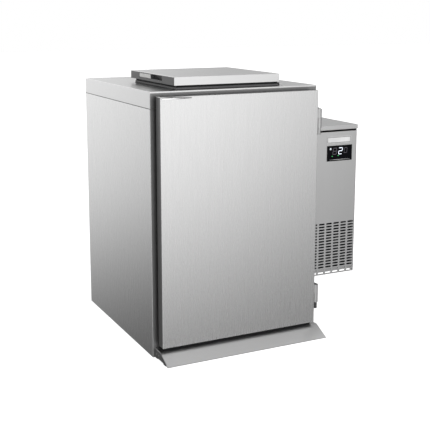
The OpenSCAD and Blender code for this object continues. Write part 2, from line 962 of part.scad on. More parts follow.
module compressor_feet() {
  color("black")
    for (dx = [-86, 86], dy = [-48, 48]) {
      rod_z([comp_x + dx, comp_y + dy, tray_z + 2], 12, comp_z - 4 - tray_z - 2);
    }
}

// Finned block: end plates, tubes and fins
module condenser_coil() {
  fins = 26;
  y1 = coil_y0 + coil_d;
  color("silver") {
    for (i = [0 : fins - 1]) {
      x = coil_x0 + i * (coil_x1 - coil_x0 - 1.2) / (fins - 1);
      block([x, coil_y0, coil_z0], [x + 1.2, y1, coil_z0 + coil_h]);
    }
    for (j = [0 : coil_rows - 1]) {
      z = coil_z0 + (j + 0.5) * coil_h / coil_rows;
      rod_x([coil_x0 - 4, coil_y0 + coil_d / 2, z], 5, coil_x1 - coil_x0 + 8);
    }
  }
}

module fan_shroud() {
  color(steel)
    difference() {
      block([coil_x0, shroud_y0, coil_z0], [coil_x1, shroud_y0 + shroud_d, coil_z0 + coil_h]);
      block(
        [coil_x0 + 2, shroud_y0 - 1, coil_z0 + 2],
        [coil_x1 - 2, shroud_y0 + shroud_d - 2, coil_z0 + coil_h - 2]
      );
      rod_y([fan_x, shroud_y0, fan_z], fan_r + 5, shroud_d + 2);
    }
}

// Condenser fan motor on three arms, and evaporator fan motor on a bar across its housing
module fan_motors() {
  y0 = shroud_y0 + shroud_d;
  arm_w = 8;
  bar_x = evap_fan_x + 2;
  color(black)
    difference() {
      union() {
        rod_x([bar_x, evap_fan_y, evap_fan_z], 26, 30);
        block(
          [bar_x, evap_y0 + evap_sheet, evap_fan_z - 7],
          [bar_x + 3, evap_y1 - evap_sheet, evap_fan_z + 7]
        );
      }
      rod_x([bar_x - 1, evap_fan_y, evap_fan_z], shaft_r + pin_fit, 18);
    }
  color(black)
    difference() {
      union() {
        rod_y([fan_x, y0, fan_z], motor_r, motor_len);
        for (a = [30, 150, 270]) {
          translate([fan_x, y0, fan_z])
            rotate([0, a, 0])
              translate([0, 0, -arm_w / 2]) cube([fan_r + 14, 4, arm_w]);
        }
      }
      rod_y([fan_x, y0 - 1, fan_z], shaft_r + pin_fit, 26);
    }
}

module condenser_fan() {
  hub_h = 22;
  color("gray")
    translate([fan_x, shroud_y0 + shroud_d - 1, fan_z])
      rotate([90, 0, 0])
        rotor(fan_r, 26, hub_h, 5, 22);
}

module filter_drier() {
  color("peru") rod_z([drier_x, drier_y, drier_z], 13, drier_h);
}

// Copper lines between compressor, condenser, drier and evaporator
module refrigerant_pipes() {
  r = 3.8;
  low_z = coil_z0 + coil_h / coil_rows / 2;
  high_z = coil_z0 + coil_h - coil_h / coil_rows / 2;
  coil_y = coil_y0 + coil_d / 2;
  right = coil_x1 + 9;
  left = coil_x0 - 9;
  suction = [comp_x - comp_r - 14, comp_y, comp_z + 90];
  discharge = [comp_x + comp_r + 10, comp_y, comp_z + 110];
  riser_x = suction[0] - 12;
  wall_x = in_right - 4;
  core_x = (evap_coil_x0 + evap_coil_x1) / 2;
  row_h = (evap_z1 - evap_z0 - 54) / evap_rows;
  first_z = evap_z0 + 30 + row_h / 2;
  last_z = first_z + (evap_rows - 1) * row_h;
  near_y = evap_y0 + 10;
  far_y = evap_y1 - 10;
  color("peru") {
    pipe([
      discharge, [right, comp_y, discharge[2]], [right, comp_y, high_z],
      [right, coil_y, high_z], [coil_x1 + 4, coil_y, high_z]
    ], r);
    pipe([
      [coil_x0 - 4, coil_y, low_z], [left, coil_y, low_z], [left, drier_y, low_z],
      [drier_x, drier_y, low_z], [drier_x, drier_y, drier_z]
    ], r);
    pipe([
      [drier_x, drier_y, drier_z + drier_h], [drier_x, drier_y, liquid_z], [wall_x, drier_y, liquid_z],
      [wall_x, near_y, liquid_z], [core_x, near_y, liquid_z], [core_x, near_y, first_z],
      [core_x, evap_y0 + 16, first_z]
    ], r);
    pipe([
      suction, [riser_x, comp_y, suction[2]], [riser_x, comp_y, gas_z], [riser_x, gas_y, gas_z],
      [wall_x, gas_y, gas_z], [wall_x, far_y, gas_z], [core_x, far_y, gas_z], [core_x, far_y, last_z],
      [core_x, evap_y1 - 16, last_z]
    ], r);
  }
}

module electrical_box() {
  color("whitesmoke")
    block(
      [unit_x1 - sheet_t - 60, unit_y0 + 180, tray_z + 420],
      [unit_x1 - sheet_t, unit_y0 + 380, tray_z + 600]
    );
}

// Gland for the mains lead, with an open bore
module cable_gland() {
  at = [unit_x1 - 40, unit_y1 - 20, tray_z + 50];
  color(black)
    difference() {
      union() {
        rod_y(at, 8, 38);
        rod_y([at[0], unit_y1, at[2]], 12, 6);
        rod_y([at[0], unit_y1 - sheet_t - 5, at[2]], 12, 5);
      }
      rod_y(at - [0, 1, 0], 4.5, 40);
    }
}

// Sheet housing inside the cabinet, open behind, with a round fan opening
module evaporator_housing() {
  t = evap_sheet;
  color("whitesmoke")
    difference() {
      block([evap_x0, evap_y0, evap_z0], [in_right, evap_y1, evap_z1]);
      block([evap_x0 + t, evap_y0 + t, evap_z0 + t], [in_right + 1, evap_y1 - t, evap_z1 - t]);
      rod_x([evap_x0 - 1, evap_fan_y, evap_fan_z], evap_fan_r + 5, 4);
      for (j = [0 : 9]) {
        y = evap_y0 + 30 + j * (evap_y1 - evap_y0 - 68) / 9;
        block([evap_x0 + 50, y, evap_z0 - 1], [in_right - 12, y + 8, evap_z0 + t + 1]);
      }
    }
}

module evaporator_coil() {
  fins = 22;
  x0 = evap_coil_x0;
  x1 = evap_coil_x1;
  y0 = evap_y0 + 24;
  y1 = evap_y1 - 24;
  z0 = evap_z0 + 30;
  z1 = evap_z1 - 24;
  color("silver") {
    for (i = [0 : fins - 1]) {
      y = y0 + i * (y1 - y0 - 1.2) / (fins - 1);
      block([x0, y, z0], [x1, y + 1.2, z1]);
    }
    for (j = [0 : evap_rows - 1]) {
      z = z0 + (j + 0.5) * (z1 - z0) / evap_rows;
      rod_y([(x0 + x1) / 2, y0 - 8, z], 5, y1 - y0 + 16);
    }
  }
}

// Fan that blows into the cabinet
module evaporator_fan() {
  color("gray")
    translate([evap_fan_x, evap_fan_y, evap_fan_z])
      rotate([0, -90, 0])
        rotor(evap_fan_r, 22, 16, 5, 14);
}

// Insulated plug that fills the opening in the wall
module wall_port_plug() {
  hole_r = 6;
  color("khaki")
    difference() {
      block([in_right, port_y0, port_z0], [right_x, port_y1, port_z1]);
      rod_x([in_right - 1, drier_y, liquid_z], hole_r, wall_t + 2);
      rod_x([in_right - 1, gas_y, gas_z], hole_r, wall_t + 2);
    }
}

// Tray on the base that catches and evaporates the defrost water
module condensate_tray() {
  x0 = unit_x0 + 12;
  color(black)
    difference() {
      block([x0, comp_y - 180, tray_z + 2], [x0 + 200, comp_y - 104, tray_z + 40]);
      block([x0 + 2, comp_y - 178, tray_z + 4], [x0 + 198, comp_y - 106, tray_z + 41]);
    }
}

left_wall();
right_wall();
rear_wall();
ceiling_panel();
floor_panel();
panel_cores();
door_frame_liner();
bin_guide_rails();
threshold_ramp();
ramp_cheeks();
ramp_pads();
chute_sleeve();
collar_frame();
collar_gasket();
lid_hinge_base();
hinge_brackets();
hinge_pins();
hinge_bushes();
hinge_screws();
door_skin();
door_core();
door_liner();
door_gasket();
door_sweep();
door_pull();
hinge_knuckles();
hinge_caps();
lid_shell();
lid_core();
lid_pan();
lid_grip_tray();
flap_pin();
lid_hinge_leaf();
grip_flap();
unit_wall_plate();
unit_base_tray();
unit_front_panel();
unit_side_panel();
unit_rear_panel();
unit_top_cover();
unit_screws();
badge_plate();
controller_body();
controller_screen();
controller_trim();
compressor();
compressor_feet();
condenser_coil();
fan_shroud();
fan_motors();
condenser_fan();
filter_drier();
refrigerant_pipes();
electrical_box();
cable_gland();
evaporator_housing();
evaporator_coil();
evaporator_fan();
wall_port_plug();
condensate_tray();
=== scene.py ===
"""Refrigerated waste bin cabinet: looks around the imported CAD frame. Metres, +Z up, front towards -Y."""

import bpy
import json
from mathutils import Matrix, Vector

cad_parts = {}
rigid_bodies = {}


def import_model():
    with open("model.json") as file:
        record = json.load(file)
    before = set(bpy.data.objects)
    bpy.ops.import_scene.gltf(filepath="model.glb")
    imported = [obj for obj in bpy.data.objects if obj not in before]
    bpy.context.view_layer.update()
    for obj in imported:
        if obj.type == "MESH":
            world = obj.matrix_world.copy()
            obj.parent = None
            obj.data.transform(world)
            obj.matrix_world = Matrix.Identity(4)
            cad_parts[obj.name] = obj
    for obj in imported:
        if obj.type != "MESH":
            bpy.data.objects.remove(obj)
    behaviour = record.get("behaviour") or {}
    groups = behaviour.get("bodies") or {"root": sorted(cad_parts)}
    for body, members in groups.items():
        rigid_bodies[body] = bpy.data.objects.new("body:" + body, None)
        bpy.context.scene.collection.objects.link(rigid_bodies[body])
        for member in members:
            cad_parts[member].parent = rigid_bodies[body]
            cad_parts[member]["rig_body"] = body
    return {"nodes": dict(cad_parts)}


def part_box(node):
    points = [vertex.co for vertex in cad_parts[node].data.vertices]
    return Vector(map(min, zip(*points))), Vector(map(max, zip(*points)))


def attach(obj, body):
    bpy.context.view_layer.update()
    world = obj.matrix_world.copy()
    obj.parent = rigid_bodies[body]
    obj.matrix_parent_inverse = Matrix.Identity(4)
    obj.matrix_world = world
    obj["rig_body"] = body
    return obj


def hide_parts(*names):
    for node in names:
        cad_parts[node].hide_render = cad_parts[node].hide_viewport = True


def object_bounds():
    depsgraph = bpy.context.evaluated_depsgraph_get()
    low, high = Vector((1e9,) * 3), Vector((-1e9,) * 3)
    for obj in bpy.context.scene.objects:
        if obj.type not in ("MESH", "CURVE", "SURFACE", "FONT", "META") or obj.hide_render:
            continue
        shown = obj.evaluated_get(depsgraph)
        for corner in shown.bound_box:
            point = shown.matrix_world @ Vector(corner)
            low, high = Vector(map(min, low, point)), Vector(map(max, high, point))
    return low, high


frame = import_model()
cad_box = [list(corner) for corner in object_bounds()]

import json
import math

import bmesh
import bpy
from mathutils import Vector

MM = 0.001
scene = bpy.context.scene
nodes = frame["nodes"]

# Faces that turn by more than this meet in a visible corner
SHARP_ANGLE = math.radians(40)
# A face's normal counts as looking along a direction when their dot product is above this
FACING = 0.9


# ---------- Camera ----------

def add_camera():
    """Slightly above the cabinet's top, to the left of its front, looking down and to the right."""
    data = bpy.data.cameras.new("camera")
    data.lens = 72.8
    data.sensor_width = 36
    data.shift_y = -0.10
    cam = bpy.data.objects.new("camera", data)
    cam.location = (-1.850, -3.977, 1.568)
    looks_down = math.radians(10.43)
    turns_right = math.radians(26.24)
    cam.rotation_euler = (math.pi / 2 - looks_down, 0, -turns_right)
    scene.collection.objects.link(cam)
    scene.camera = cam


add_camera()


# ---------- Materials ----------

# Most of a noise texture's values lie between these two
NOISE_LOW, NOISE_HIGH = 0.3, 0.7


class Shader:
    """A small wrapper that builds one node material round a Principled BSDF."""

    def __init__(self, name, color, rough, metal=0.0):
        self.material = bpy.data.materials.new(name)
        self.material.use_nodes = True
        self.tree = self.material.node_tree
        self.bsdf = self.tree.nodes["Principled BSDF"]
        self.bsdf.inputs["Base Color"].default_value = (*color, 1)
        self.bsdf.inputs["Roughness"].default_value = rough
        self.bsdf.inputs["Metallic"].default_value = metal
        self.material.diffuse_color = (*color, 1)

    def add(self, kind, **values):
        """Add a node with these socket values."""
        node = self.tree.nodes.new(kind)
        for key, value in values.items():
            node.inputs[key].default_value = value
        return node

    def link(self, out_socket, in_socket):
        self.tree.links.new(out_socket, in_socket)

    def noise(self, scale, detail=2.0, stretch=(1, 1, 1)):
        """Noise in the object's own space, with scale in cells per metre along each axis."""
        place = self.add("ShaderNodeTexCoord")
        mapping = self.add("ShaderNodeMapping", Scale=[scale * s for s in stretch])
        texture = self.add("ShaderNodeTexNoise", Scale=1.0, Detail=detail, Roughness=0.6)
        self.link(place.outputs["Object"], mapping.inputs["Vector"])
        self.link(mapping.outputs["Vector"], texture.inputs["Vector"])
        return texture.outputs["Fac"]

    def vary_color(self, value, dark, light):
        """Run the base colour from one to the other as the noise rises."""
        ramp = self.add("ShaderNodeValToRGB")
        ends = ((NOISE_LOW, dark), (NOISE_HIGH, light))
        for element, (position, color) in zip(ramp.color_ramp.elements, ends):
            element.position = position
            element.color = (*color, 1)
        self.link(value, ramp.inputs["Fac"])
        self.link(ramp.outputs["Color"], self.bsdf.inputs["Base Color"])

    def vary_rough(self, value, low, high):
        """Run the roughness from one value to the other as the noise rises."""
        node = self.add("ShaderNodeMapRange")
        limits = {"From Min": NOISE_LOW, "From Max": NOISE_HIGH, "To Min": low, "To Max": high}
        for key, limit in limits.items():
            node.inputs[key].default_value = limit
        self.link(value, node.inputs["Value"])
        self.link(node.outputs["Result"], self.bsdf.inputs["Roughness"])

    def bump(self, value, strength, distance):
        """Raise the surface by the noise, over a distance in metres."""
        node = self.add("ShaderNodeBump", Strength=strength, Distance=distance)
        self.link(value, node.inputs["Height"])
        self.link(node.outputs["Normal"], self.bsdf.inputs["Normal"])


def scaled(color, factor):
    """A lighter or darker colour."""
    return tuple(min(1.0, c * factor) for c in color)


def steel(name, color, rough, grain):
    """Brushed stainless: fine streaks along the grain axis and wide faint ones."""
    shader = Shader(name, color, rough, 1.0)
    streak = 0.012
    stretch = [1, 1, 1]
    stretch["xyz".index(grain)] = streak
    fine = shader.noise(700, 3, stretch)
    wide = shader.noise(60, 2, stretch)
    shader.vary_color(wide, scaled(color, 0.992), scaled(color, 1.008))
    shader.vary_rough(fine, rough - 0.02, rough + 0.03)
    shader.bump(fine, 0.01, 0.0001)
    return shader.material


def plastic(name, color, rough, grain_scale=2500, depth=0.15):
    """Moulded plastic with a fine spark-eroded grain."""
    shader = Shader(name, color, rough)
    grain = shader.noise(grain_scale, 2)
    cloud = shader.noise(18, 2)
    shader.vary_color(cloud, scaled(color, 0.92), scaled(color, 1.06))
    shader.vary_rough(grain, rough - 0.06, rough + 0.08)
    shader.bump(grain, depth, 0.0002)
    return shader.material


def rubber(name, color):
    """Matt extruded rubber with a faint dusty bloom."""
    shader = Shader(name, color, 0.62)
    shader.bsdf.inputs["Specular IOR Level"].default_value = 0.25
    bloom = shader.noise(45, 4)
    grain = shader.noise(1800, 2)
    shader.vary_color(bloom, scaled(color, 0.8), scaled(color, 1.5))
    shader.vary_rough(bloom, 0.5, 0.75)
    shader.bump(grain, 0.2, 0.0002)
    return shader.material


def metal(name, color, rough):
    """Cast, plated or drawn metal with small marks."""
    shader = Shader(name, color, rough, 1.0)
    marks = shader.noise(240, 4)
    shader.vary_color(marks, scaled(color, 0.9), scaled(color, 1.08))
    shader.vary_rough(marks, rough - 0.06, rough + 0.1)
    shader.bump(marks, 0.08, 0.0003)
    return shader.material


def painted(name, color, rough, gloss=0.5):
    """Semi-gloss paint with orange peel."""
    shader = Shader(name, color, rough)
    shader.bsdf.inputs["Specular IOR Level"].default_value = gloss
    peel = shader.noise(420, 2)
    cloud = shader.noise(12, 2)
    shader.vary_color(cloud, scaled(color, 0.85), scaled(color, 1.2))
    shader.vary_rough(peel, rough - 0.05, rough + 0.08)
    shader.bump(peel, 0.12, 0.0004)
    return shader.material


def foam(name, color):
    """Cut polyurethane foam."""
    shader = Shader(name, color, 0.9)
    cells = shader.noise(900, 5)
    shader.vary_color(cells, scaled(color, 0.75), scaled(color, 1.1))
    shader.bump(cells, 0.6, 0.001)
    return shader.material


def lit(name, color, strength):
    """A lit display segment with a slightly uneven glow."""
    shader = Shader(name, color, 0.4)
    glow = shader.noise(900, 2)
    shader.vary_color(glow, scaled(color, 0.9), color)
    shader.bsdf.inputs["Emission Color"].default_value = (*color, 1)
    shader.bsdf.inputs["Emission Strength"].default_value = strength
    return shader.material


GREY = (0.65, 0.65, 0.65)
# Finish name: its material and the record's slot
FINISHES = {
    "skin": (steel("skin_steel", GREY, 0.27, "z"), "brushed_skin"),
    "top": (steel("top_steel", GREY, 0.30, "x"), "brushed_skin"),
    # edge: a darker copy of the brushed skin; painted shade on faces turned away from the light
    "edge": (steel("painted_shade_steel", (0.25, 0.25, 0.25), 0.40, "z"), "brushed_skin"),
    # rim: a much darker copy of the brushed skin; painted shade on the lid's side faces
    "rim": (steel("lid_side_shade_steel", (0.14, 0.14, 0.14), 0.42, "y"), "brushed_skin"),
    "unit": (steel("unit_steel", (0.58, 0.58, 0.58), 0.34, "z"), "unit_steel"),
    "hinge": (metal("hinge_steel", (0.52, 0.52, 0.52), 0.45), "unit_steel"),
    "ramp": (steel("ramp_steel", (0.6, 0.6, 0.6), 0.30, "x"), "ramp_steel"),
    "bright": (metal("bright_steel", (0.8, 0.8, 0.8), 0.18), "bright_steel"),
    "foam": (foam("cut_foam", (0.78, 0.68, 0.42)), "foam"),
    "rubber": (rubber("seal_rubber", (0.008, 0.008, 0.009)), "seal_rubber"),
    "dark": (plastic("dark_plastic", (0.03, 0.03, 0.032), 0.42), "dark_plastic"),
    "grey": (plastic("grey_plastic", (0.09, 0.09, 0.092), 0.45), "dark_plastic"),
    "white": (plastic("white_plastic", (0.75, 0.75, 0.73), 0.38), "white_plastic"),
    "glass": (painted("screen_glass", (0.002, 0.002, 0.003), 0.12, 0.05), "screen_glass"),
    "label": (plastic("label_enamel", (0.6, 0.6, 0.6), 0.45, 900, 0.05), "bright_steel"),
    "copper": (metal("copper_tube", (0.72, 0.38, 0.22), 0.3), "copper"),
    "fins": (metal("fin_aluminium", (0.72, 0.72, 0.72), 0.35), "fin_aluminium"),
    "black": (painted("black_paint", (0.012, 0.012, 0.012), 0.45, 0.3), "shell_paint"),
    "zinc": (metal("zinc_steel", (0.5, 0.5, 0.5), 0.3), "fastener_steel"),
    "digit": (lit("digit_glow", (0.85, 0.9, 1.0), 0.6), "screen_glass"),
    "icon": (lit("icon_glow", (0.75, 0.8, 0.85), 0.15), "screen_glass"),
    "ghost": (lit("digit_off", (0.05, 0.045, 0.055), 0.5), "screen_glass"),
    "led": (lit("led_green", (0.03, 0.35, 0.08), 0.8), "screen_glass"),
}

# Finish name: the CAD nodes that have it
NODE_FINISH = {
    "skin": ["left_wall", "right_wall", "rear_wall", "chute_sleeve", "door_skin", "door_liner", "lid_pan"],
    "top": ["ceiling_panel", "lid_shell", "floor_panel"],
    "ramp": ["bin_guide_rails", "threshold_ramp", "ramp_cheeks"],
    "unit": [
        "unit_wall_plate", "unit_base_tray", "unit_front_panel", "unit_side_panel", "unit_rear_panel",
        "unit_top_cover", "fan_shroud",
    ],
    "hinge": ["lid_hinge_base", "lid_hinge_leaf", "hinge_brackets", "hinge_knuckles"],
    "bright": ["door_pull", "controller_trim"],
    "label": ["badge_plate"],
    "foam": ["panel_cores", "door_core", "lid_core", "wall_port_plug"],
    "rubber": ["ramp_pads", "collar_gasket", "door_gasket", "door_sweep", "compressor_feet"],
    "dark": ["hinge_bushes", "hinge_caps", "cable_gland", "evaporator_fan", "condensate_tray"],
    "grey": ["collar_frame", "lid_grip_tray"],
    "white": ["door_frame_liner", "grip_flap", "electrical_box", "evaporator_housing"],
    "glass": ["controller_screen", "controller_body"],
    "copper": ["filter_drier", "refrigerant_pipes"],
    "fins": ["evaporator_coil", "condenser_fan"],
    "black": ["compressor", "condenser_coil", "fan_motors"],
    "zinc": ["hinge_pins", "hinge_screws", "flap_pin", "unit_screws"],
}
FINISH_OF = {node: key for key, names in NODE_FINISH.items() for node in names}


def dress_cad_nodes():
    """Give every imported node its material."""
    for node, key in FINISH_OF.items():
        slots = nodes[node].data.materials
        slots.clear()
        slots.append(FINISHES[key][0])


dress_cad_nodes()


# ---------- Mesh helpers ----------

def add_piece(name, bm, finishes, body, replaced=()):
    """Turn a bmesh into a piece with smooth rounds and sharp corners, riding on a body."""
    mesh = bpy.data.meshes.new(name)
    bm.normal_update()
    bm.to_mesh(mesh)
    bm.free()
    for key in finishes:
        mesh.materials.append(FINISHES[key][0])
    mesh.shade_smooth()
    mesh.set_sharp_from_angle(angle=SHARP_ANGLE)
    piece = bpy.data.objects.new(name, mesh)
    scene.collection.objects.link(piece)
    weighted = piece.modifiers.new("even_shading", "WEIGHTED_NORMAL")
    weighted.keep_sharp = True
    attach(piece, body)
    if replaced:
        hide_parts(*replaced)
    return piece


def node_mesh(node):
    """A clean copy of a CAD node's mesh: welded, with flat faces in one piece."""
    same_place = 0.001 * MM
    same_plane = 0.005
    bm = bmesh.new()
    bm.from_mesh(nodes[node].data)
    bmesh.ops.remove_doubles(bm, verts=bm.verts, dist=same_place)
    bmesh.ops.dissolve_limit(bm, angle_limit=same_plane, verts=bm.verts, edges=bm.edges)
    for face in bm.faces:
        face.material_index = 0
    return bm


def face_width(face):
    """Roughly the short side of a face."""
    return face.calc_area() / max(edge.calc_length() for edge in face.edges)


def round_edges(bm, width, segments=2, pick=None):
    """Round the corners between faces that are wide enough for it."""
    corner = 0.5
    room = 2.2 * width
    bm.normal_update()
    chosen = []
    for edge in bm.edges:
        if len(edge.link_faces) != 2 or edge.calc_face_angle(0) < corner:
            continue
        if min(face_width(face) for face in edge.link_faces) < room:
            continue
        if pick is None or pick(edge):
            chosen.append(edge)
    if chosen:
        bmesh.ops.bevel(
            bm, geom=chosen, offset=width, segments=segments, profile=0.5, affect="EDGES", clamp_overlap=True
        )


def paint_faces(bm, index, towards):
    """Give the faces that look in one of these directions another of the piece's finishes."""
    bm.normal_update()
    for face in bm.faces:
        if max(face.normal.dot(Vector(way)) for way in towards) > FACING:
            face.material_index = index


def circle(radius, count):
    """Points of a circle round (0, 0), anticlockwise from its first axis."""
    turns = (math.tau * k / count for k in range(count))
    return [(radius * math.cos(turn), radius * math.sin(turn)) for turn in turns]


def rim(low, high):
    """The corners of a box's lower face, from the front left round the back to the front right."""
    corners = ((low.x, low.y), (low.x, high.y), (high.x, high.y), (high.x, low.y))
    return [Vector((x, y, low.z)) for x, y in corners]


def add_dome(bm, at, size):
    """A rivet or screw head: a ball squashed to this size along each axis."""
    dome = bmesh.ops.create_uvsphere(bm, u_segments=16, v_segments=8, radius=max(size))["verts"]
    bmesh.ops.scale(bm, verts=dome, vec=[length / max(size) for length in size])
    bmesh.ops.translate(bm, verts=dome, vec=at)


def sweep(path, profile, normal, closed=False, bm=None):
    """Sweep a closed profile of (across, rise) points along a flat path with mitred corners.

    Across is to the path's right as seen against the normal, and rise is along the normal.
    """
    if bm is None:
        bm = bmesh.new()
    up = Vector(normal)
    count = len(path)
    rings = []
    for i, point in enumerate(path):
        sides = []
        if i or closed:
            sides.append((point - path[i - 1]).normalized().cross(up))
        if i + 1 < count or closed:
            sides.append((path[(i + 1) % count] - point).normalized().cross(up))
        side = sum(sides, Vector()) / len(sides)
        side /= side.length_squared
        rings.append([bm.verts.new(point + side * across + up * rise) for across, rise in profile])
    for i in range(count if closed else count - 1):
        near, far = rings[i], rings[(i + 1) % count]
        for j in range(len(profile)):
            k = (j + 1) % len(profile)
            bm.faces.new((near[j], near[k], far[k], far[j]))
    if not closed:
        bm.faces.new(rings[0])
        bm.faces.new(list(reversed(rings[-1])))
    bmesh.ops.recalc_face_normals(bm, faces=bm.faces)
    return bm


def prism(bm, outline, low, high, axis=1):
    """Extrude a flat outline of (first, second) points along an axis."""
    ends = []
    for level in (low, high):
        ring = []
        for first, second in outline:
            point = [first, second]
            point.insert(axis, level)
            ring.append(bm.verts.new(point))
        ends.append(ring)
    bm.faces.new(ends[0])
    bm.faces.new(list(reversed(ends[1])))
    for j in range(len(outline)):
        k = (j + 1) % len(outline)
        bm.faces.new((ends[0][j], ends[1][j], ends[1][k], ends[0][k]))


# ---------- Cabinet, door and lid skins ----------

FRONT, BACK, LEFT, RIGHT, UP, DOWN = (0, -1, 0), (0, 1, 0), (-1, 0, 0), (1, 0, 0), (0, 0, 1), (0, 0, -1)


def soft_copy(node, width, segments=2, **edge_faces):
    """A copy of a sheet-metal node with its folds rounded.

    edge_faces names other finishes, each with the directions of the faces that have it.
    """
    bm = node_mesh(node)
    for index, towards in enumerate(edge_faces.values(), 1):
        paint_faces(bm, index, towards)
    round_edges(bm, width, segments)
    return add_piece(f"{node}_folded", bm, [FINISH_OF[node], *edge_faces], nodes[node]["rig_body"], [node])


def add_ceiling():
    """The top sheet folds down over the front edge as a bright lip; below the lip the front face gets the
    darker edge steel as painted shade.
    """
    lip = 7 * MM
    bm = node_mesh("ceiling_panel")
    fold_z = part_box("ceiling_panel")[1].z - lip
    bmesh.ops.bisect_plane(
        bm, geom=bm.verts[:] + bm.edges[:] + bm.faces[:], plane_co=(0, 0, fold_z), plane_no=UP
    )
    bm.normal_update()
    # Painted shade: the front face below the lip gets the darker edge steel
    for face in bm.faces:
        if face.normal.y < -FACING and face.calc_center_median().z < fold_z:
            face.material_index = 1
    round_edges(bm, 2.0 * MM, 3)
    add_piece("ceiling_folded", bm, ["top", "edge"], "cabinet", ["ceiling_panel"])


def add_seam():
    """Dark sealant in the joint between the walls and the ceiling panel, round three sides."""
    half = 1.2 * MM
    proud = 0.15 * MM
    deep = 2 * MM
    section = [(deep, -half), (deep, half), (-proud, half), (-proud, -half)]
    path = rim(*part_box("ceiling_panel"))
    add_piece("seam_sealant", sweep(path, section, UP), ["rubber"], "cabinet")


def add_rear_rivets():
    """Two columns of domed rivets that hold the side skins' folds to the rear wall."""
    low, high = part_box("rear_wall")
    radius = 4 * MM
    proud = 0.4 * radius
    sunk = 0.2 * MM
    count = 8
    margin = 70 * MM
    beside = 12 * MM
    bm = bmesh.new()
    for x in (low.x - beside, high.x + beside):
        for k in range(count):
            z = low.z + margin + (high.z - low.z - 2 * margin) * k / (count - 1)
            add_dome(bm, (x, high.y - sunk, z), (radius, proud, radius))
    add_piece("rear_rivets", bm, ["zinc"], "cabinet")


def add_fan_guard():
    """A wire guard over the evaporator fan's opening: rings, spokes, a centre cap and screws."""
    low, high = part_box("evaporator_housing")
    centre_y, centre_z = (low.y + high.y) / 2, (low.z + high.z) / 2
    wire = 1.5 * MM
    layer = 1.6 * wire
    overhang = 2 * wire
    ring_x = low.x - wire
    spoke_x = ring_x - layer
    radii = [radius * MM for radius in (28, 44, 60, 76, 94)]

    def at(x, radius, turn):
        return Vector((x, centre_y + radius * math.cos(turn), centre_z + radius * math.sin(turn)))

    def between(count):
        return [math.tau * (k + 0.5) / count for k in range(count)]

    section = circle(wire, 8)
    bm = bmesh.new()
    for radius in radii:
        path = [Vector((ring_x, centre_y + y, centre_z + z)) for y, z in circle(radius, 60)]
        sweep(path, section, LEFT, closed=True, bm=bm)
    for turn in between(6):
        spoke = [at(spoke_x, radii[0] - overhang, turn), at(spoke_x, radii[-1] + overhang, turn)]
        sweep(spoke, section, LEFT, bm=bm)
    add_piece("fan_guard", bm, ["bright"], "cabinet")

    bm = bmesh.new()
    cap = [(centre_y + y, centre_z + z) for y, z in circle(radii[0], 40)]
    prism(bm, cap, spoke_x - layer, spoke_x + wire, axis=0)
    round_edges(bm, wire, 2, lambda edge: max(vert.co.x for vert in edge.verts) < spoke_x - wire)
    screw_r = 5 * MM
    beside = 9 * MM
    for turn in between(4):
        add_dome(bm, at(low.x, radii[-1] + beside, turn), (screw_r / 2, screw_r, screw_r))
    bmesh.ops.recalc_face_normals(bm, faces=bm.faces)
    add_piece("fan_guard_cap", bm, ["zinc"], "cabinet")


def add_cabinet():
    """The insulated box with its ramp, rails, sleeve and opening."""
    add_ceiling()
    # Painted shade: the walls' front faces get the darker edge steel
    for node in ("left_wall", "right_wall"):
        soft_copy(node, 1.6 * MM, 3, edge=[FRONT])
    soft_copy("rear_wall", 1.6 * MM, 3)
    soft_copy("threshold_ramp", 1.5 * MM, 3)
    # Painted shade: the cheeks' left faces get the darker edge steel
    soft_copy("ramp_cheeks", 0.8 * MM, 2, edge=[LEFT])
    for node in ("bin_guide_rails", "floor_panel", "chute_sleeve", "door_frame_liner"):
        soft_copy(node, 0.8 * MM)
    add_seam()
    add_rear_rivets()
    add_fan_guard()


def add_door():
    """The door's skin, inner face and pull."""
    # Painted shade: the skin's side and bottom faces get the darker edge steel, and its top face the dark
    # plastic as painted shadow in the gap above the door
    soft_copy("door_skin", 2.5 * MM, 3, edge=[LEFT, RIGHT, DOWN], dark=[UP])
    soft_copy("door_liner", 2.0 * MM, 3)
    soft_copy("door_pull", 0.4 * MM)


def add_hinges():
    """Hinges whose upper set has plain steel ends and whose lower set has black ones."""
    middle = (cad_box[0][2] + cad_box[1][2]) / 2
    for node in ("hinge_caps", "hinge_bushes"):
        bm = node_mesh(node)
        for face in bm.faces:
            if face.calc_center_median().z > middle:
                face.material_index = 1
        round_edges(bm, 0.4 * MM)
        add_piece(f"{node}_turned", bm, ["dark", "hinge"], nodes[node]["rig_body"], [node])
    soft_copy("hinge_knuckles", 0.4 * MM)
    soft_copy("hinge_brackets", 0.4 * MM)


def gasket_profile(width, height):
    """A magnetic door seal's section: half of it, with base, two folds and the magnet's pocket, mirrored."""
    half = width / 2
    right = [
        (half, 0), (half, 0.12 * height), (0.55 * half, 0.22 * height), (0.5 * half, 0.3 * height),
        (half * 0.92, 0.42 * height), (half * 0.92, 0.48 * height), (0.5 * half, 0.6 * height),
        (0.6 * half, 0.66 * height), (half * 0.96, 0.7 * height), (half, 0.75 * height),
        (half, 0.92 * height), (half * 0.9, height),
    ]
    return right + [(-across, rise) for across, rise in reversed(right)]


def add_door_gasket():
    """The door's seal, with mitred corners, down both sides and along the top."""
    low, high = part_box("door_gasket")
    width = 18 * MM
    left, right, top = low.x + width / 2, high.x - width / 2, high.z - width / 2
    corners = ((left, low.z), (left, top), (right, top), (right, low.z))
    path = [Vector((x, low.y, z)) for x, z in corners]
    bm = sweep(path, gasket_profile(width, high.y - low.y), BACK)
    add_piece("door_seal", bm, ["rubber"], "door", ["door_gasket"])


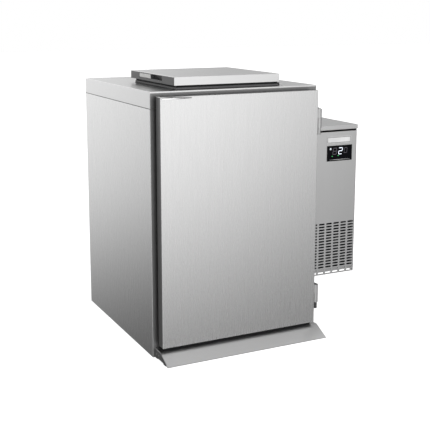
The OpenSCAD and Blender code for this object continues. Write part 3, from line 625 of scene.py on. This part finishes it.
def add_lid():
    """The lid, its inner pan and grip flap, and sealant round the foot of the collar."""
    # Painted shade: the shell's left and right faces get the much darker lid side steel
    soft_copy("lid_shell", 2.2 * MM, 3, rim=[LEFT, RIGHT])
    soft_copy("lid_pan", 1.5 * MM, 2)
    soft_copy("grip_flap", 0.5 * MM, 2)
    bead = 2.5 * MM
    under = 0.5 * MM
    arc = [math.radians(angle) for angle in range(0, 91, 15)]
    section = [(under, 0), *((-bead * math.cos(a), bead * math.sin(a)) for a in arc), (under, bead)]
    path = rim(*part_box("collar_frame"))
    add_piece("collar_sealant", sweep(path, section, UP, closed=True), ["rubber"], "cabinet")


# ---------- Condensing unit's casing ----------

def bisected(node, point, normal):
    """A node's mesh cut by a plane, keeping what lies behind the normal, with the cut closed."""
    bm = node_mesh(node)
    cut = bmesh.ops.bisect_plane(
        bm, geom=bm.verts[:] + bm.edges[:] + bm.faces[:], plane_co=point, plane_no=normal, clear_outer=True
    )
    edges = [item for item in cut["geom_cut"] if isinstance(item, bmesh.types.BMEdge)]
    bmesh.ops.edgeloop_fill(bm, edges=edges)
    return bm


def add_wrapped_casing():
    """The front and right side panels as one sheet folded round the corner.

    The grille's slot walls and the rolled edge round each slot get the black finish as painted shade, so the
    slots read dark inside.
    """
    front_low, front_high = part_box("unit_front_panel")
    fold = 7 * MM
    rolled = 0.7 * MM
    sheet = front_high.y - front_low.y
    centre_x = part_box("unit_side_panel")[1].x - fold
    centre_y = front_low.y + fold
    bm = bisected("unit_front_panel", (centre_x, 0, 0), RIGHT)
    shaded_slot_walls = set()
    # Painted shade: the slot walls get the black finish
    for face in bm.faces:
        centre = face.calc_center_median()
        inside = front_low.x + sheet < centre.x < centre_x - sheet and front_low.z + sheet < centre.z
        if inside and abs(face.normal.y) < FACING:
            face.material_index = 1
            shaded_slot_walls.add(face)
    painted_shade_rims = [
        edge for edge in bm.edges
        if len(edge.link_faces) == 2 and len(shaded_slot_walls.intersection(edge.link_faces)) == 1
        and max(vert.co.y for vert in edge.verts) < front_low.y + 0.1 * sheet
    ]
    # The rolled edge round each slot is black too: painted shade
    bmesh.ops.bevel(bm, geom=painted_shade_rims, offset=rolled, segments=1, affect="EDGES", material=1)
    arc = [math.radians(angle) for angle in range(-90, 1, 9)]
    corner = []
    for radius, turns in ((fold, arc), (fold - sheet, arc[::-1])):
        corner += [(centre_x + radius * math.cos(a), centre_y + radius * math.sin(a)) for a in turns]
    prism(bm, corner, front_low.z, front_high.z, axis=2)
    bmesh.ops.recalc_face_normals(bm, faces=bm.faces)
    add_piece("unit_front_folded", bm, ["unit", "black"], "cabinet", ["unit_front_panel"])
    bm = bisected("unit_side_panel", (0, centre_y, 0), FRONT)
    add_piece("unit_side_folded", bm, ["unit"], "cabinet", ["unit_side_panel"])


def add_badge():
    """A blank satin plate with a dark line round it."""
    soft_copy("badge_plate", 0.5 * MM)
    low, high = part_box("badge_plate")
    inset = 2.5 * MM
    line = 1.8 * MM
    sunk, proud = -0.1 * MM, 0.3 * MM
    left, right, bottom, top = low.x + inset, high.x - inset, low.z + inset, high.z - inset
    corners = ((left, bottom), (right, bottom), (right, top), (left, top))
    path = [Vector((x, low.y, z)) for x, z in corners]
    section = [(0, sunk), (line, sunk), (line, proud), (0, proud)]
    add_piece("badge_border", sweep(path, section, BACK, closed=True), ["black"], "cabinet")


def add_unit():
    """The refrigeration unit's casing."""
    add_wrapped_casing()
    soft_copy("unit_top_cover", 2.5 * MM, 3)
    soft_copy("unit_rear_panel", 0.6 * MM)
    add_badge()


# ---------- Controller ----------

# Each stroke of a seven-segment figure: its middle in half widths and half heights, and whether it is upright
SEGMENTS = {
    "a": (0, 1, False), "g": (0, 0, False), "d": (0, -1, False),
    "f": (-1, 0.5, True), "b": (1, 0.5, True), "e": (-1, -0.5, True), "c": (1, -0.5, True),
}


def add_segments(bm, letters, centre, size, face_y, thick):
    """Seven-segment strokes: each letter is one bar with pointed ends, and the figure leans a little."""
    width, height = size
    lean = 0.10
    stroke = 0.05 * height
    tip_gap = 0.25 * stroke
    for letter in letters:
        across, up, upright = SEGMENTS[letter]
        mid = (across * width / 2, up * height / 2)
        reach = (height / 2 if upright else width) / 2 - tip_gap
        shoulder = reach - stroke
        bar = [(-reach, 0), (-shoulder, stroke), (shoulder, stroke),
               (reach, 0), (shoulder, -stroke), (-shoulder, -stroke)]
        if upright:
            bar = [(b, a) for a, b in reversed(bar)]
        outline = []
        for a, b in bar:
            x, z = mid[0] + a, mid[1] + b
            outline.append((centre[0] + x + lean * z, centre[1] + z))
        prism(bm, outline, face_y - thick, face_y + thick)


def add_display():
    """Figures, status lights and an icon just proud of the controller's glass."""
    low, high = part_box("controller_body")
    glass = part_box("controller_screen")[0].y
    thick = 0.15 * MM
    wide, tall = high.x - low.x, high.z - low.z

    def spot(u, v):
        """A place on the glass: u of the way from its left and v of the way from its top."""
        return (low.x + u * wide, high.z - v * tall)

    figure = (0.14 * wide, 0.40 * tall)
    small = (0.11 * wide, 0.33 * tall)
    bm = bmesh.new()
    add_segments(bm, "abged", spot(0.53, 0.36), figure, glass, thick)
    add_piece("display_figure", bm, ["digit"], "cabinet")
    bm = bmesh.new()
    add_segments(bm, "abcdefg", spot(0.30, 0.36), figure, glass, thick)
    add_segments(bm, "abcdef", spot(0.74, 0.34), small, glass, thick)
    add_piece("display_ghosts", bm, ["ghost"], "cabinet")
    bm = bmesh.new()
    x, z = spot(0.13, 0.2)
    arm = 0.07 * tall
    half_stroke = 0.22 * arm
    for turn in range(3):
        angle = math.radians(60 * turn)
        along = Vector((math.cos(angle), math.sin(angle)))
        cross = Vector((-along.y, along.x)) * half_stroke
        along *= arm
        tips = [along + cross, cross - along, -along - cross, along - cross]
        front = glass - thick * (1 + 0.2 * turn)
        prism(bm, [(x + t.x, z + t.y) for t in tips], front, glass + thick)
    add_piece("display_icon", bm, ["icon"], "cabinet")
    bm = bmesh.new()
    for u, v in ((0.2, 0.68), (0.44, 0.66)):
        x, z = spot(u, v)
        ring = [(x + 3 * MM * across, z + 2 * MM * up) for across, up in circle(1, 16)]
        prism(bm, ring, glass - thick, glass + thick)
    add_piece("display_leds", bm, ["led"], "cabinet")


def add_trim():
    """A slim strip that swells in the middle, under the figures."""
    low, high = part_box("controller_trim")
    half = (high.x - low.x) / 2
    middle = (low.x + high.x) / 2
    count = 24
    level = low.z + 0.6 * (high.z - low.z)
    rise, drop, end = 0.9 * MM, 1.1 * MM, 0.2 * MM
    set_back = 0.3 * MM
    upper = []
    lower = []
    for k in range(count + 1):
        along = 2 * k / count - 1
        swell = 1 - along * along
        upper.append((middle + half * along, level + rise * swell + end))
        lower.append((middle + half * along, level - drop * swell - end))
    bm = bmesh.new()
    prism(bm, upper + lower[::-1], low.y + set_back, high.y)
    bmesh.ops.recalc_face_normals(bm, faces=bm.faces)
    add_piece("controller_strip", bm, ["unit"], "cabinet", ["controller_trim"])


def add_controller():
    """The temperature display."""
    soft_copy("controller_body", 1.5 * MM, 3)
    add_trim()
    add_display()


add_cabinet()
add_door()
add_door_gasket()
add_hinges()
add_lid()
add_unit()
add_controller()


# ---------- Stage ----------

def add_floor():
    """A wide pale floor that glows enough to merge with the backdrop."""
    half = 30
    corners = [(-half, -half, 0), (half, -half, 0), (half, half, 0), (-half, half, 0)]
    mesh = bpy.data.meshes.new("floor")
    mesh.from_pydata(corners, [], [(0, 1, 2, 3)])
    floor = bpy.data.objects.new("floor", mesh)
    shader = Shader("floor_paint", (0.9, 0.9, 0.9), 0.8)
    cloud = shader.noise(0.7, 2)
    shader.vary_color(cloud, (0.9, 0.9, 0.9), (0.91, 0.91, 0.91))
    shader.bsdf.inputs["Specular IOR Level"].default_value = 0.0
    shader.bsdf.inputs["Emission Color"].default_value = (1, 1, 1, 1)
    shader.bsdf.inputs["Emission Strength"].default_value = 0.75
    mesh.materials.append(shader.material)
    scene.collection.objects.link(floor)
    floor.visible_glossy = False


def direction(azimuth, elevation):
    """Unit vector: azimuth 0 points to the front (-Y) and 90 to the right (+X)."""
    a = math.radians(azimuth)
    e = math.radians(elevation)
    return (math.sin(a) * math.cos(e), -math.cos(a) * math.cos(e), math.sin(e))


# Soft boxes on the sky that lights the object: azimuth, elevation and half width in degrees, and strength
SOFT_BOXES = [
    (0, 8, 48, 2.1),
    (-10, 15, 55, 1.4),
    (30, 15, 40, 0.22),
    (-172, 8, 38, 1.55),
    (168, 12, 45, 0.3),
    (125, 15, 42, 0.4),
    (-60, 15, 42, 0.4),
    (110, 62, 40, 1.0),
    (0, 60, 45, 0.9),
]
# Light that the floor throws back up, to the sides and behind
FLOOR_GLOW = [
    (-65, -22, 50, 0.55),
    (80, -22, 40, 0.5),
    (-108, -22, 30, 0.45),
    (132, -22, 42, 0.5),
]
# Least and greatest brightness of the sky
SKY_BASE = 0.13
SKY_TOP = 1.8
# The studio wall fades into a dark floor between these two elevations
HORIZON = (-27.5, -10.5)


def add_world():
    """Soft boxes above a dark horizon to light the object, and a plain white backdrop for the camera."""
    world = bpy.data.worlds.new("studio")
    scene.world = world
    world.use_nodes = True
    tree = world.node_tree
    tree.nodes.clear()
    place = tree.nodes.new("ShaderNodeTexCoord")

    def soft_step(value, low, high, top):
        """Rise smoothly from 0 to the top as the value goes from low to high."""
        edge = tree.nodes.new("ShaderNodeMapRange")
        edge.interpolation_type = "SMOOTHSTEP"
        edge.inputs["From Min"].default_value = low
        edge.inputs["From Max"].default_value = high
        edge.inputs["To Max"].default_value = top
        tree.links.new(value, edge.inputs["Value"])
        return edge.outputs["Result"]

    def math_node(operation, first, second):
        node = tree.nodes.new("ShaderNodeMath")
        node.operation = operation
        for socket, value in zip(node.inputs, (first, second)):
            if isinstance(value, (int, float)):
                socket.default_value = value
            else:
                tree.links.new(value, socket)
        return node.outputs["Value"]

    def along(way):
        """The cosine of the angle between the ray and a direction."""
        dot = tree.nodes.new("ShaderNodeVectorMath")
        dot.operation = "DOT_PRODUCT"
        dot.inputs[1].default_value = way
        tree.links.new(place.outputs["Generated"], dot.inputs[0])
        return dot.outputs["Value"]

    def add_boxes(boxes):
        """The sum of round glows, each brightest in its middle."""
        total = 0.0
        for azimuth, elevation, half_width, strength in boxes:
            rim_cosine = math.cos(math.radians(half_width))
            glow = soft_step(along(direction(azimuth, elevation)), rim_cosine, 1.0, strength)
            total = math_node("ADD", glow, total)
        return total

    low, high = (math.sin(math.radians(level)) for level in HORIZON)
    above = math_node("MINIMUM", add_boxes(SOFT_BOXES), SKY_TOP)
    above = math_node("MULTIPLY", above, soft_step(along(UP), low, high, 1.0))
    total = math_node("ADD", above, add_boxes(FLOOR_GLOW))
    lighting = tree.nodes.new("ShaderNodeBackground")
    tree.links.new(math_node("ADD", total, SKY_BASE), lighting.inputs["Strength"])
    backdrop = tree.nodes.new("ShaderNodeBackground")
    backdrop.inputs["Color"].default_value = (1, 1, 1, 1)
    choice = tree.nodes.new("ShaderNodeMixShader")
    path = tree.nodes.new("ShaderNodeLightPath")
    out = tree.nodes.new("ShaderNodeOutputWorld")
    tree.links.new(path.outputs["Is Camera Ray"], choice.inputs["Fac"])
    tree.links.new(lighting.outputs[0], choice.inputs[1])
    tree.links.new(backdrop.outputs[0], choice.inputs[2])
    tree.links.new(choice.outputs[0], out.inputs["Surface"])


add_floor()
add_world()
scene.view_settings.view_transform = "Standard"
